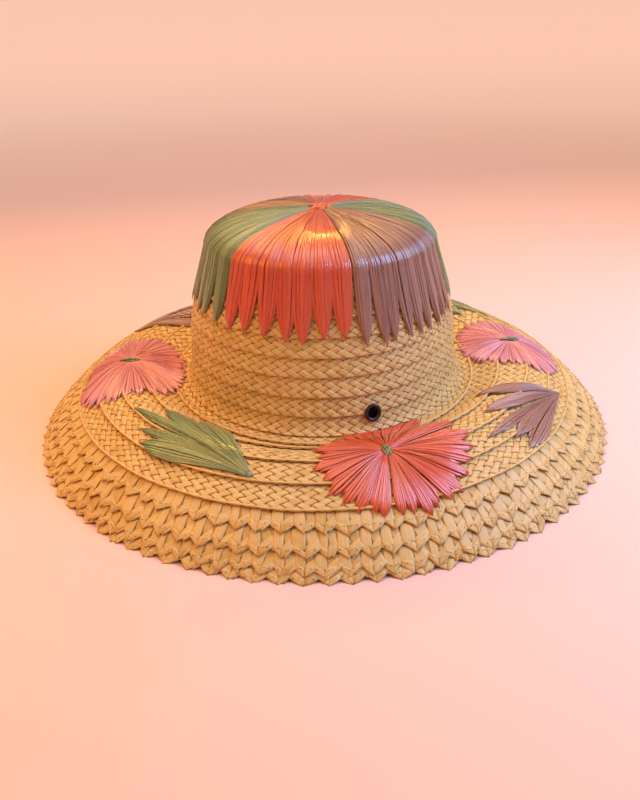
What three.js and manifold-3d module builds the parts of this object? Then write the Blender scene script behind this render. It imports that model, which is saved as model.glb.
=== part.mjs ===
// Embroidered straw sun hat: a round-topped crown and a wide, downturned brim, sewn from straw plait.
// Millimetres, +Z up. The origin is on the crown's axis, level with the rim that the hat rests on.
// -Y is the front, and bearings are turned from it towards +X.
import * as THREE from 'three';
import { mergeVertices } from 'three/addons/utils/BufferGeometryUtils.js';
import Module from 'manifold-3d';

// Driving dimensions
const CROWN_HEIGHT = 138;         // top of the straw crown above the rim
const SHOULDER_RADIUS = 72.4;
const SHOULDER_HEIGHT = 118.4;
const DOME_POWER = 2.24;          // squareness of the crown's shoulder, 2 is an ellipse
const CREASE_RADIUS = 99.4;       // where the crown meets the brim
const CREASE_HEIGHT = 31.6;
const BRIM_CREST = [[108.2, 32.6], [121.8, 38.4], [136.9, 38.9], [150.1, 33.5], [163.5, 25.7], [177.7, 13.8]];
const RIM_RADIUS = 190;
const SIDE_TUCK = 0.08;           // share by which the crown's foot is narrower than it is long
const TUCK_HEIGHTS = [38, 80];    // heights up the crown between which that fades out
const TUCK_RADII = [100, 142];    // radii across the brim between which it fades out
const PLAIT_THICKNESS = 1.2;
const SCALLOP_THICKNESS = 1.6;
const RIM_THICKNESS = 2.6;
const FIT_GAP = 0.3;              // left between pieces that touch
const CROWN_ROWS = 14;            // turns of plait below the crown button
const BRIM_EDGES = [9, 23.75, 38.5, 53.25, 68];   // outer edges of the turns, beyond the crease
const SCALLOP_EDGES = [79.4, 91.5, 101];
const PLAIT_LAP = 3;              // how far each turn runs on under the turn above it
const SCALLOP_LAP = 4.5;
const RAFFIA_THICKNESS = 1;
const RAFFIA_LIFT = 0.7;          // of the raffia off the straw
const SECTOR_WIDTH = 60;          // degrees of the crown that one sector of petals covers
const SECTOR_GAP = 1;             // degrees left free along each side of a sector
const SECTOR_START = 8;           // distances along the outline from the crown's middle
const SHOULDER_SPAN = [50, 79];
const LONG_PETALS = 48;           // how far above the crease the petals end
const SHORT_PETALS = 54;
const FLOWER_RADIUS = 43;
const CREASE_MARGIN = 2;          // the raffia on the brim stops short of the crease
const LEAF_START = 4;             // how far from the spray's point its leaves begin
const KNOT_RADIUS = 4;
const KNOT_RISE = 1.5;            // half a knot's thickness
const EYELET_BEARINGS = [18.6, 198.6];
const EYELET_RISE = 11.4;         // above the crease
const EYELET_RADIUS = 5.5;
const EYELET_BORE = 2.9;
const BARREL_RADIUS = 3.6;
const WASHER_RADIUS = 6;
const WASHER_DEPTH = 4.6;         // of the washer's outer face, below the outline
const WASHER_THICKNESS = 0.6;
const BAND_SPAN = [26, 1];        // sweatband, above the crease
const BAND_DEPTH = 5.8;
const BAND_THICKNESS = 1;

const STRAW = { color: 0xd9a262, roughness: 0.62, metalness: 0 };
const CORAL = { color: 0xe2542f, roughness: 0.38, metalness: 0 };
const PINK = { color: 0xe38088, roughness: 0.38, metalness: 0 };
const BROWN = { color: 0x8a6152, roughness: 0.42, metalness: 0 };
const GREEN = { color: 0x76804a, roughness: 0.42, metalness: 0 };
const ENAMEL = { color: 0x2c2026, roughness: 0.35, metalness: 0.6 };
const COTTON = { color: 0x4a3028, roughness: 0.9, metalness: 0 };

const FACETS = 30;                // round a full turn
const FIRST_BEARING = 14;         // of the rings' corners, in line with the raffia sectors' sides

const hat = new THREE.Group();
const wasm = await Module();
wasm.setup();

// ---- The outline: from the middle of the crown, over the shoulder, down the wall and out to the rim

class Dome extends THREE.Curve {
  getPoint(t, target = new THREE.Vector2()) {
    const angle = t * Math.PI / 2;
    const rise = CROWN_HEIGHT - SHOULDER_HEIGHT;
    const out = Math.sin(angle) ** (2 / DOME_POWER);
    const up = Math.max(Math.cos(angle), 0) ** (2 / DOME_POWER);
    return target.set(SHOULDER_RADIUS * out, SHOULDER_HEIGHT + rise * up);
  }
}

const crease = new THREE.Vector2(CREASE_RADIUS, CREASE_HEIGHT);
const brimPoints = [...BRIM_CREST, [RIM_RADIUS, 0]].map(([r, z]) => new THREE.Vector2(r, z));
const outline = new THREE.CurvePath();
outline.add(new Dome());
outline.add(new THREE.LineCurve(new THREE.Vector2(SHOULDER_RADIUS, SHOULDER_HEIGHT), crease));
outline.add(new THREE.SplineCurve([crease, ...brimPoints]));
const OUTLINE_LENGTH = outline.getLength();
const DOME_LENGTH = outline.curves[0].getLength();
const CREASE_DISTANCE = DOME_LENGTH + outline.curves[1].getLength();
const CROWN_PITCH = CREASE_DISTANCE / (CROWN_ROWS + 1);

// The point at a distance along the outline, moved out of the straw by lift. Nothing goes below the rim.
function onOutline(distance, lift) {
  const share = Math.min(distance / OUTLINE_LENGTH, 1);
  const point = outline.getPoint(share);
  const along = outline.getTangent(share);
  const z = point.y + along.x * lift;
  return new THREE.Vector2(Math.max(point.x - along.y * lift, 0), Math.max(z, 0));
}

// The same on the hat, at a bearing in degrees from the front.
function onHat(distance, bearing, lift) {
  const { x: radius, y: z } = onOutline(distance, lift);
  const turn = THREE.MathUtils.degToRad(bearing);
  return new THREE.Vector3(radius * Math.sin(turn), -radius * Math.cos(turn), z);
}

// ---- Making and placing

function addPiece(name, geometry, finish) {
  const mesh = new THREE.Mesh(geometry, new THREE.MeshStandardMaterial(finish));
  mesh.name = name;
  hat.add(mesh);
  return mesh;
}

// A closed ring with the given section of [radius, height] points, turned about Z.
function turned(section, facets = FACETS) {
  const closed = [...section, section[0]];
  const start = THREE.MathUtils.degToRad(FIRST_BEARING);
  const geometry = new THREE.LatheGeometry(closed, facets, start);
  geometry.rotateX(Math.PI / 2);
  return geometry;
}

function toSolid(geometry) {
  const plain = geometry.clone();
  plain.deleteAttribute('normal');
  plain.deleteAttribute('uv');
  const merged = mergeVertices(plain, 1e-4);
  return new wasm.Manifold(new wasm.Mesh({
    numProp: 3,
    vertProperties: Float32Array.from(merged.attributes.position.array),
    triVerts: Uint32Array.from(merged.index.array),
  }));
}

function toGeometry(solid) {
  const { vertProperties, triVerts } = solid.getMesh();
  const geometry = new THREE.BufferGeometry();
  geometry.setAttribute('position', new THREE.BufferAttribute(vertProperties, 3));
  geometry.setIndex(new THREE.BufferAttribute(triVerts, 1));
  return geometry;
}

// A thin closed skin over a grid of places, [distance, bearing] at each (i, j), from lift to lift + thickness.
function skin(rows, columns, place, lift, thickness) {
  const points = [];
  for (const side of [lift, lift + thickness]) {
    for (let i = 0; i <= rows; i += 1) {
      for (let j = 0; j <= columns; j += 1) {
        const [distance, bearing] = place(i / rows, j / columns);
        points.push(...onHat(distance, bearing, side).toArray());
      }
    }
  }
  const sheet = (rows + 1) * (columns + 1);
  const at = (layer, i, j) => layer * sheet + i * (columns + 1) + j;
  const faces = [];
  const quad = (a, b, c, d) => faces.push(a, b, c, a, c, d);
  for (let i = 0; i < rows; i += 1) {
    for (let j = 0; j < columns; j += 1) {
      quad(at(1, i, j), at(1, i + 1, j), at(1, i + 1, j + 1), at(1, i, j + 1));
      quad(at(0, i, j), at(0, i, j + 1), at(0, i + 1, j + 1), at(0, i + 1, j));
    }
  }
  for (let i = 0; i < rows; i += 1) {
    quad(at(0, i, 0), at(0, i + 1, 0), at(1, i + 1, 0), at(1, i, 0));
    quad(at(0, i + 1, columns), at(0, i, columns), at(1, i, columns), at(1, i + 1, columns));
  }
  for (let j = 0; j < columns; j += 1) {
    quad(at(0, 0, j + 1), at(0, 0, j), at(1, 0, j), at(1, 0, j + 1));
    quad(at(0, rows, j), at(0, rows, j + 1), at(1, rows, j + 1), at(1, rows, j));
  }
  const geometry = new THREE.BufferGeometry();
  geometry.setAttribute('position', new THREE.Float32BufferAttribute(points, 3));
  geometry.setIndex(faces);
  return geometry;
}

// ---- Turns of plait, each lying over the one below it

// A turn's section: from its hidden upper end, sunk under the turn above, to its lower edge on the outline.
function rowSection(above, edge, lap, sink, thickness) {
  const start = above - lap;
  const stations = [start, edge];
  const onWall = start > DOME_LENGTH - lap && edge < CREASE_DISTANCE;
  const onShoulder = edge > SHOULDER_SPAN[0] && start < SHOULDER_SPAN[1];
  if (!onWall) stations.splice(1, 0, edge - lap);
  if (!onWall && onShoulder) stations.splice(1, 0, (start + edge - lap) / 2);
  if (start < CREASE_DISTANCE && edge > CREASE_DISTANCE) stations.splice(1, 0, CREASE_DISTANCE);
  const drop = (distance) => -sink * (edge - distance) / (edge - start);
  const top = stations.map((distance) => onOutline(distance, drop(distance)));
  const under = stations.map((distance) => onOutline(distance, drop(distance) - thickness));
  return [...under, ...top.reverse()];
}

const button = new THREE.CylinderGeometry(CROWN_PITCH, CROWN_PITCH, PLAIT_THICKNESS, 24);
button.rotateX(Math.PI / 2);
addPiece('crown_button', button, STRAW).position.z = CROWN_HEIGHT - PLAIT_THICKNESS / 2;

const rows = [];
for (let turn = 1; turn <= CROWN_ROWS; turn += 1) {
  rows.push({ name: `crown_row_${turn}`, edge: CROWN_PITCH * (turn + 1), lap: PLAIT_LAP });
}
BRIM_EDGES.forEach((beyond, i) => {
  rows.push({ name: `brim_row_${i + 1}`, edge: CREASE_DISTANCE + beyond, lap: PLAIT_LAP });
});
SCALLOP_EDGES.forEach((beyond, i) => {
  const [name, edge] = [`scalloped_row_${i + 1}`, CREASE_DISTANCE + beyond];
  rows.push({ name, edge, lap: SCALLOP_LAP, thickness: SCALLOP_THICKNESS });
});
rows.push({ name: 'rim_row', edge: OUTLINE_LENGTH, lap: SCALLOP_LAP, thickness: RIM_THICKNESS });

const straw = {};
let above = { edge: CROWN_PITCH, pitch: CROWN_PITCH, thickness: PLAIT_THICKNESS };
for (const { name, edge, lap, thickness = PLAIT_THICKNESS } of rows) {
  const pitch = edge - above.edge;
  const slope = 1 + lap / Math.min(pitch, above.pitch);
  const sink = (above.thickness + FIT_GAP) * slope + FIT_GAP;
  straw[name] = turned(rowSection(above.edge, edge, lap, sink, thickness));
  above = { edge, pitch, thickness };
}

// ---- Eyelets: a flanged barrel through the bottom rows of the crown, and a washer on the inside

// The placing that stands a piece's own Z along the hat's outward direction, at a place on the hat.
function standOn(distance, bearing, lift) {
  const foot = onHat(distance, bearing, lift);
  const out = onHat(distance, bearing, lift + 1).sub(foot).normalize();
  const turn = new THREE.Quaternion().setFromUnitVectors(new THREE.Vector3(0, 0, 1), out);
  return new THREE.Matrix4().compose(foot, turn, new THREE.Vector3(1, 1, 1));
}

const flangeUnder = FIT_GAP;
const flangeTop = FIT_GAP + 1;
const barrelEnd = -WASHER_DEPTH - WASHER_THICKNESS;
const washerSide = BARREL_RADIUS + FIT_GAP;
const washerTop = barrelEnd + WASHER_THICKNESS;
const washerSection = [
  [washerSide, barrelEnd], [WASHER_RADIUS, barrelEnd], [WASHER_RADIUS, washerTop], [washerSide, washerTop],
].map(([r, z]) => new THREE.Vector2(r, z));
const eyeletSection = [
  [EYELET_BORE, barrelEnd], [BARREL_RADIUS, barrelEnd], [BARREL_RADIUS, flangeUnder],
  [EYELET_RADIUS, flangeUnder], [EYELET_RADIUS - 0.5, flangeTop], [EYELET_BORE + 0.4, flangeTop],
  [EYELET_BORE, flangeTop - 0.5],
].map(([r, z]) => new THREE.Vector2(r, z));

EYELET_BEARINGS.forEach((bearing, i) => {
  const place = standOn(CREASE_DISTANCE - EYELET_RISE, bearing, 0);
  const side = ['front', 'back'][i];
  const hole = new THREE.CylinderGeometry(BARREL_RADIUS + FIT_GAP, BARREL_RADIUS + FIT_GAP, 16, 20);
  hole.rotateX(Math.PI / 2).applyMatrix4(place);
  for (const name of ['crown_row_13', 'crown_row_14']) {
    straw[name] = toGeometry(toSolid(straw[name]).subtract(toSolid(hole)));
  }
  addPiece(`eyelet_${side}`, turned(eyeletSection, 20), ENAMEL).applyMatrix4(place);
  addPiece(`eyelet_washer_${side}`, turned(washerSection, 20), ENAMEL).applyMatrix4(place);
});

for (const [name, geometry] of Object.entries(straw)) addPiece(name, geometry, STRAW);

// ---- Sweatband inside the bottom of the crown

const bandFace = (depth) => BAND_SPAN.map((rise) => onOutline(CREASE_DISTANCE - rise, -depth));
const bandSection = [...bandFace(BAND_DEPTH + BAND_THICKNESS), ...bandFace(BAND_DEPTH).reverse()];
addPiece('sweatband', turned(bandSection), COTTON);

// ---- Raffia on the crown: six sectors of petals, from near the knot to part way down the wall

const crownSectors = [
  ['petals_coral_front', SHORT_PETALS, CORAL], ['petals_brown_front', LONG_PETALS, BROWN],
  ['petals_green_right', SHORT_PETALS, GREEN], ['petals_coral_back', SHORT_PETALS, CORAL],
  ['petals_brown_back', LONG_PETALS, BROWN], ['petals_green_left', SHORT_PETALS, GREEN],
];

// Distance along a sector, with most of its steps where the shoulder bends.
function alongSector(share, tip) {
  const { lerp } = THREE.MathUtils;
  if (share <= 0.2) return lerp(SECTOR_START, SHOULDER_SPAN[0], share / 0.2);
  if (share <= 0.8) return lerp(...SHOULDER_SPAN, (share - 0.2) / 0.6);
  return lerp(SHOULDER_SPAN[1], tip, (share - 0.8) / 0.2);
}

crownSectors.forEach(([name, stop, finish], i) => {
  const tip = CREASE_DISTANCE - stop;
  const left = FIRST_BEARING + (i - 1) * SECTOR_WIDTH + SECTOR_GAP;
  const width = SECTOR_WIDTH - 2 * SECTOR_GAP;
  const place = (u, v) => [alongSector(u, tip), left + width * v];
  addPiece(name, skin(10, 5, place, RAFFIA_LIFT, RAFFIA_THICKNESS), finish);
});

// ---- Raffia on the brim: flowers and leaf sprays, flat patches that follow the straw

// The place outward and across from a point of the brim, beyond the crease, in millimetres on the straw.
function beside(beyond, bearing, outward, across) {
  const there = CREASE_DISTANCE + Math.max(beyond + outward, CREASE_MARGIN);
  return [there, bearing + THREE.MathUtils.radToDeg(across / onOutline(there, 0).x)];
}

// A knot: a flattened ball of raffia over the middle of a motif.
function addKnot(name, place, radius, finish) {
  const ball = new THREE.SphereGeometry(1, 12, 6);
  ball.rotateX(Math.PI / 2).scale(radius, radius, KNOT_RISE);
  addPiece(name, ball, finish).applyMatrix4(place);
}

const knotLift = RAFFIA_LIFT + RAFFIA_THICKNESS + FIT_GAP + KNOT_RISE;

const flowers = [
  ['front', 34.5, 14.6, CORAL], ['left', 33.5, -86.9, PINK], ['right', 34, 95.7, PINK], ['back', 31, -170, CORAL],
];
for (const [side, beyond, bearing, finish] of flowers) {
  const place = (u, v) => {
    const [a, b] = [2 * u - 1, 2 * v - 1];
    const outward = FLOWER_RADIUS * a * Math.sqrt(1 - b * b / 2);
    const across = FLOWER_RADIUS * b * Math.sqrt(1 - a * a / 2);
    return beside(beyond, bearing, outward < 0 ? outward * beyond / FLOWER_RADIUS : outward, across);
  };
  addPiece(`flower_${side}`, skin(8, 8, place, RAFFIA_LIFT, RAFFIA_THICKNESS), finish);
  const middle = standOn(CREASE_DISTANCE + beyond, bearing, knotLift);
  addKnot(`flower_knot_${side}`, middle, KNOT_RADIUS, GREEN);
}

// Leaf sprays open like a fan from a point, towards lower bearings and up the brim.
const leafSprays = [
  ['green_front', 52, -15.7, [-2, 36], 88, GREEN], ['brown_right', 62, 69.4, [2, 70], 60, BROWN],
  ['green_back', 56, 160, [-2, 36], 88, GREEN], ['brown_left', 56, -112, [2, 65], 58, BROWN],
];
for (const [name, beyond, bearing, [low, high], length, finish] of leafSprays) {
  const place = (u, v) => {
    const reach = LEAF_START + (length - LEAF_START) * u;
    const heading = THREE.MathUtils.degToRad(high + (low - high) * v);
    return beside(beyond, bearing, -reach * Math.sin(heading), -reach * Math.cos(heading));
  };
  addPiece(`leaves_${name}`, skin(6, 6, place, RAFFIA_LIFT, RAFFIA_THICKNESS), finish);
}

addKnot('crown_knot', standOn(0, 0, FIT_GAP + KNOT_RISE), SECTOR_START - 1, CORAL);

// ---- The oval: the crown's foot is drawn in at both sides to the shape of a head

for (const piece of hat.children) {
  piece.updateMatrix();
  piece.geometry.applyMatrix4(piece.matrix);
  piece.position.set(0, 0, 0);
  piece.quaternion.identity();
  const corners = piece.geometry.attributes.position;
  for (let i = 0; i < corners.count; i += 1) {
    const [x, y, z] = [corners.getX(i), corners.getY(i), corners.getZ(i)];
    const low = 1 - THREE.MathUtils.smoothstep(z, ...TUCK_HEIGHTS);
    const inner = 1 - THREE.MathUtils.smoothstep(Math.hypot(x, y), ...TUCK_RADII);
    corners.setX(i, x * (1 - SIDE_TUCK * low * inner));
  }
}

export default hat;
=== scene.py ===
"""Embroidered straw sun hat: plaited straw rows sewn into a crown and a wide brim, with raffia flowers."""
import math

import bpy
import numpy as np
from mathutils import Matrix, Vector


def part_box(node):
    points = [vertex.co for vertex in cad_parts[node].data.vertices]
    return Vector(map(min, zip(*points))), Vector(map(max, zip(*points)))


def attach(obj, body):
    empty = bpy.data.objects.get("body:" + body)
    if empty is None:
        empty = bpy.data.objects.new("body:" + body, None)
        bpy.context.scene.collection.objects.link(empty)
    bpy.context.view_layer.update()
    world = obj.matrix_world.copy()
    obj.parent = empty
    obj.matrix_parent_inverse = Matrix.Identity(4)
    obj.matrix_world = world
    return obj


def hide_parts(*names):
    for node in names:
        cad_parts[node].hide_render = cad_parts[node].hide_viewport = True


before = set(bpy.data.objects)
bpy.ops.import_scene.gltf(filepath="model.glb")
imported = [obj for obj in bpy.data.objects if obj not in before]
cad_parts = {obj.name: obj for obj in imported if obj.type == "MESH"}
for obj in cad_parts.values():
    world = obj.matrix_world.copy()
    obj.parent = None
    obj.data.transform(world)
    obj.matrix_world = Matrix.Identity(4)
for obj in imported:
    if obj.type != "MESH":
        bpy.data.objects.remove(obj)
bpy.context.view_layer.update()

# ------------------------------
# Studio. The camera looks down on the hat's front from a short way off, over a pale seamless floor. A
# warm soft light stands on the left, a cool one on the right and a narrow golden strip behind; a panel
# far behind brightens the back of the floor, and a broad light comes from overhead.

MM = 0.001
CAMERA_DISTANCE = 554 * MM
CAMERA_ELEVATION = math.radians(28)
CAMERA_TILT = math.radians(-1.25)
CAMERA_LENS = 35.5
CAMERA_SHIFT = -0.0047
AIM_HEIGHT = 3 * MM

camera = bpy.data.objects.new("camera", bpy.data.cameras.new("camera"))
bpy.context.scene.collection.objects.link(camera)
camera.data.lens = CAMERA_LENS
camera.data.shift_x = CAMERA_SHIFT
camera.data.clip_start = 0.01
camera_place = Vector((0, -CAMERA_DISTANCE * math.cos(CAMERA_ELEVATION),
                       AIM_HEIGHT + CAMERA_DISTANCE * math.sin(CAMERA_ELEVATION)))
camera.matrix_world = (Matrix.Translation(camera_place)
                       @ Matrix.Rotation(math.pi / 2 - CAMERA_ELEVATION, 4, "X")
                       @ Matrix.Rotation(CAMERA_TILT, 4, "Z"))
bpy.context.scene.camera = camera
bpy.context.scene.view_settings.view_transform = "Standard"


def new_material(name, **settings):
    """A node material whose Principled shader has these socket values."""
    material = bpy.data.materials.new(name)
    material.use_nodes = True
    shader = material.node_tree.nodes["Principled BSDF"]
    for socket, value in settings.items():
        shader.inputs[socket.replace("_", " ")].default_value = value
    return material, material.node_tree, shader


def set_inputs(tree, node, inputs):
    """Give a node's inputs their values, or a link where the value is another node's socket."""
    for socket, value in inputs.items():
        if isinstance(value, bpy.types.NodeSocket):
            tree.links.new(value, node.inputs[socket])
        else:
            node.inputs[socket].default_value = value


def add_node(tree, kind, inputs=None, **settings):
    """A new node with these settings and inputs."""
    node = tree.nodes.new("ShaderNode" + kind)
    for setting, value in settings.items():
        setattr(node, setting, value)
    set_inputs(tree, node, inputs or {})
    return node


def build_mesh(name, points, faces, fibre=None):
    """A smooth mesh object at the origin from arrays of points and of four-cornered faces, with the
    points' fibre attribute if there is one."""
    mesh = bpy.data.meshes.new(name)
    points = np.asarray(points, np.float32).reshape(-1, 3)
    faces = np.asarray(faces, np.int32).reshape(-1, 4)
    mesh.vertices.add(len(points))
    mesh.vertices.foreach_set("co", points.ravel())
    mesh.loops.add(faces.size)
    mesh.loops.foreach_set("vertex_index", faces.ravel())
    mesh.polygons.add(len(faces))
    mesh.polygons.foreach_set("loop_start", np.arange(0, faces.size, 4, dtype=np.int32))
    mesh.polygons.foreach_set("use_smooth", np.full(len(faces), True))
    if fibre is not None:
        layer = mesh.attributes.new("fibre", "FLOAT_VECTOR", "POINT")
        layer.data.foreach_set("vector", np.asarray(fibre, np.float32).ravel())
    mesh.update(calc_edges=True)
    mesh.validate()
    thing = bpy.data.objects.new(name, mesh)
    bpy.context.scene.collection.objects.link(thing)
    return thing


# The floor is painted paler far from the hat: painted light that makes up for the weaker lamp light on the
# far floor.
FLOOR_NEAR = (0.90, 0.56, 0.47, 1)
FLOOR_FAR_PAINTED_PALER = (0.94, 0.66, 0.56, 1)
FLOOR_HALF = 60.0
FLOOR_PAINTED_LIGHT_FADE = (0.6, 1.6)  # metres from the hat between which the floor turns from near to far

floor_corners = FLOOR_HALF * np.array([(-1, -1, 0), (1, -1, 0), (1, 1, 0), (-1, 1, 0)])
floor = build_mesh("floor", floor_corners, [(0, 1, 2, 3)])
floor_material, floor_tree, floor_shader = new_material("pale_floor", Roughness=0.9)
here = add_node(floor_tree, "TexCoord")
away = add_node(floor_tree, "VectorMath", {0: here.outputs["Object"]}, operation="LENGTH")
painted_far_light = add_node(floor_tree, "MapRange",
                 {"Value": away.outputs["Value"], "From Min": FLOOR_PAINTED_LIGHT_FADE[0], "From Max": FLOOR_PAINTED_LIGHT_FADE[1]},
                 interpolation_type="SMOOTHSTEP")
paint = add_node(floor_tree, "Mix",
                 {"Factor": painted_far_light.outputs["Result"], "A": FLOOR_NEAR, "B": FLOOR_FAR_PAINTED_PALER}, data_type="RGBA")
set_inputs(floor_tree, floor_shader, {"Base Color": paint.outputs["Result"]})
floor.data.materials.append(floor_material)


def soft_light(name, place, aim, size, spread, power, colour):
    """An area light, size wide and high, at a place and turned to an aim, spreading a whole angle."""
    lamp = bpy.data.lights.new(name, "AREA")
    lamp.shape = "RECTANGLE"
    lamp.size, lamp.size_y = size
    lamp.spread = math.radians(spread)
    lamp.energy = power
    lamp.color = colour
    thing = bpy.data.objects.new(name, lamp)
    bpy.context.scene.collection.objects.link(thing)
    towards = Vector(aim) - Vector(place)
    thing.location = place
    thing.rotation_euler = towards.to_track_quat("-Z", "Y").to_euler()


soft_light("warm_left", place=(-0.60, -0.22, 0.60), aim=(-0.10, -0.04, 0.0), size=(0.4, 0.4),
           spread=110, power=1.05, colour=(1.0, 0.43, 0.04))
soft_light("cool_right", place=(0.64, -0.12, 0.52), aim=(0.16, -0.03, 0.0), size=(0.5, 0.5),
           spread=110, power=3.0, colour=(0.38, 0.56, 1.0))
soft_light("golden_strip", place=(-0.14, 0.78, 0.86), aim=(0.0, 0.0, 0.09), size=(1.7, 0.035),
           spread=80, power=2.3, colour=(1.0, 0.54, 0.10))
soft_light("backdrop_panel", place=(0.0, 10.8, 4.0), aim=(0.0, 10.801, 0.0), size=(18.0, 20.0),
           spread=60, power=600, colour=(1.0, 0.78, 0.73))

overhead = bpy.data.objects.new("overhead", bpy.data.lights.new("overhead", "SUN"))
overhead.data.energy = 0.95
overhead.data.angle = math.radians(50)
overhead.data.color = (1.0, 0.84, 0.64)
overhead.rotation_euler = (math.radians(-8), math.radians(-5), 0)
bpy.context.scene.collection.objects.link(overhead)

world = bpy.data.worlds.new("studio")
world.use_nodes = True
world.node_tree.nodes["Background"].inputs["Color"].default_value = (1.0, 0.84, 0.76, 1)
world.node_tree.nodes["Background"].inputs["Strength"].default_value = 0.25
bpy.context.scene.world = world

# ------------------------------
# Crown rows. Flat plaits of split straw, sewn round and round from the button at the top down to the
# crease, each turn lapping over the next one. Every splint runs edge to edge at a slant, over one and
# under one, and folds back at both edges.

# The outline that every piece follows, in millimetres: middle of the crown, shoulder, wall, brim, rim.
CROWN_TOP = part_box("crown_button")[1].z / MM
RIM_RADIUS = 190.0
SHOULDER = (72.4, 118.4)
DOME_POWER = 2.24  # two would be an ellipse; more is squarer at the shoulder
CREASE = (99.4, 31.6)
BRIM_CREST = [(108.2, 32.6), (121.8, 38.4), (136.9, 38.9), (150.1, 33.5), (163.5, 25.7), (177.7, 13.8)]
CREASE_SOFTNESS = 6.0
OUTLINE_STEP = 0.25
SIDE_TUCK = 0.08  # share by which the crown's foot is narrower than it is long
TUCK_HEIGHTS = (38, 80)  # the heights, and below them the radii, between which the tuck dies away
TUCK_RADII = (100, 142)


def catmull_rom(corners, steps):
    """A smooth curve through the corners: each stretch is a cubic whose end slopes are half the vector
    between the corners on either side."""
    p = np.array([corners[0], *corners, corners[-1]], float)
    t = np.linspace(0, 1, steps, endpoint=False)[:, None]
    slopes = (p[2:] - p[:-2]) / 2
    stretches = [(2 * t**3 - 3 * t**2 + 1) * a + (t**3 - 2 * t**2 + t) * m
                 + (3 * t**2 - 2 * t**3) * b + (t**3 - t**2) * n
                 for a, b, m, n in zip(p[1:-2], p[2:-1], slopes[:-1], slopes[1:])]
    return np.vstack([*stretches, p[-1:]])


def make_outline():
    """Distance, (radius, height) and outward direction at even steps down the outline, and the distances
    of the crease and the rim.

    The dome is a quarter of a superellipse, the wall is straight and the brim is a smooth curve. The
    fold at the crease is eased by averaging, and the line runs on straight past the rim."""
    turn = np.linspace(0, math.pi / 2, 400)
    out, up = np.sin(turn) ** (2 / DOME_POWER), np.maximum(np.cos(turn), 0) ** (2 / DOME_POWER)
    dome = np.stack([SHOULDER[0] * out, SHOULDER[1] + (CROWN_TOP - SHOULDER[1]) * up], 1)
    brim = catmull_rom([CREASE, *BRIM_CREST, (RIM_RADIUS, 0)], 60)
    past_rim = brim[-1] + 12 * (brim[-1] - brim[-3]) / np.linalg.norm(brim[-1] - brim[-3])
    line = np.vstack([dome, brim, past_rim[None]])
    run = np.r_[0, np.cumsum(np.linalg.norm(np.diff(line, axis=0), axis=1))]
    crease = run[len(dome)]
    rim = run[-2]
    even = np.arange(0, run[-1], OUTLINE_STEP)
    place = np.stack([np.interp(even, run, line[:, k]) for k in (0, 1)], 1)
    width = int(CREASE_SOFTNESS / OUTLINE_STEP)
    window = np.ones(2 * width + 1) / (2 * width + 1)
    blur = np.stack([np.convolve(np.pad(place[:, k], width, "edge"), window, "valid") for k in (0, 1)], 1)
    near = np.clip(1.4 - np.abs(even - crease) / (1.5 * CREASE_SOFTNESS), 0, 1)[:, None]
    place = place * (1 - near) + blur * near
    along = np.gradient(place, OUTLINE_STEP, axis=0)
    along /= np.linalg.norm(along, axis=1)[:, None]
    outward = np.stack([-along[:, 1], along[:, 0]], 1)
    return even, place, outward, crease, rim


RUN, PLACE, OUTWARD, CREASE_RUN, RIM_RUN = make_outline()
LOWEST = 0.15  # no point of a piece that follows the outline lies lower than this


def radius_at(run):
    """The hat's radius at a distance down the outline, in millimetres."""
    return np.interp(run, RUN, PLACE[:, 0])


def fading(value, start, end):
    """A smooth step from one down to nothing."""
    share = np.clip((value - start) / (end - start), 0, 1)
    return 1 - share * share * (3 - 2 * share)


def drawn_in(r, bearing, z):
    """Points in metres from cylinder coordinates, the crown's foot drawn in at its sides to an oval."""
    tuck = SIDE_TUCK * fading(z, *TUCK_HEIGHTS) * fading(r, *TUCK_RADII)
    return np.stack([r * np.sin(bearing) * (1 - tuck), -r * np.cos(bearing), z], -1) * MM


def on_hat(run, bearing, lift):
    """Points in metres at a distance down the outline, a bearing in radians from the front towards +X,
    and a lift along the outward direction."""
    r = radius_at(run) + lift * np.interp(run, RUN, OUTWARD[:, 0])
    z = np.interp(run, RUN, PLACE[:, 1]) + lift * np.interp(run, RUN, OUTWARD[:, 1])
    r, bearing = np.broadcast_arrays(r, bearing)
    return drawn_in(r, bearing, np.maximum(z, LOWEST) + 0 * bearing)


def tube_faces(units, rows, loop, following=None):
    """Faces of units tubes, each of rows rings of loop points. following is the unit that each tube
    runs on into, or None for tubes whose two ends are left open."""
    last = rows if following is not None else rows - 1
    unit, i, j = np.meshgrid(np.arange(units), np.arange(last), np.arange(loop), indexing="ij")
    step_unit = unit if following is None else np.where(i == rows - 1, following[unit], unit)
    step_row = (i + 1) % rows

    def corner(u, row, k):
        return (u * rows + row) * loop + k % loop

    return np.stack([corner(unit, i, j), corner(unit, i, j + 1),
                     corner(step_unit, step_row, j + 1), corner(step_unit, step_row, j)], -1).reshape(-1, 4)


def outward_faces(points, faces):
    """The faces, turned round if the solid that they close has a negative volume."""
    p = np.asarray(points, float).reshape(-1, 3)
    a, b, c, d = (p[faces[:, k]] for k in range(4))
    volume = (np.einsum("ij,ij->i", a, np.cross(b, c)) + np.einsum("ij,ij->i", a, np.cross(c, d))).sum()
    return faces if volume > 0 else faces[:, ::-1]


def solid(points, faces, along, across, tone):
    """A solid's points, its outward faces and its fibre attribute: millimetres along and across the
    fibres, and a tone from dark to light."""
    fibre = np.stack([np.broadcast_to(v, points.shape[:-1]) for v in (along, across, tone)], -1)
    return points.reshape(-1, 3), outward_faces(points, faces), fibre.reshape(-1, 3)


def gather(solids):
    """One set of points, faces and fibre attributes from several."""
    points, faces, fibre = zip(*solids)
    starts = np.cumsum([0] + [len(p) for p in points[:-1]])
    return np.vstack(points), np.vstack([f + start for f, start in zip(faces, starts)]), np.vstack(fibre)


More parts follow.
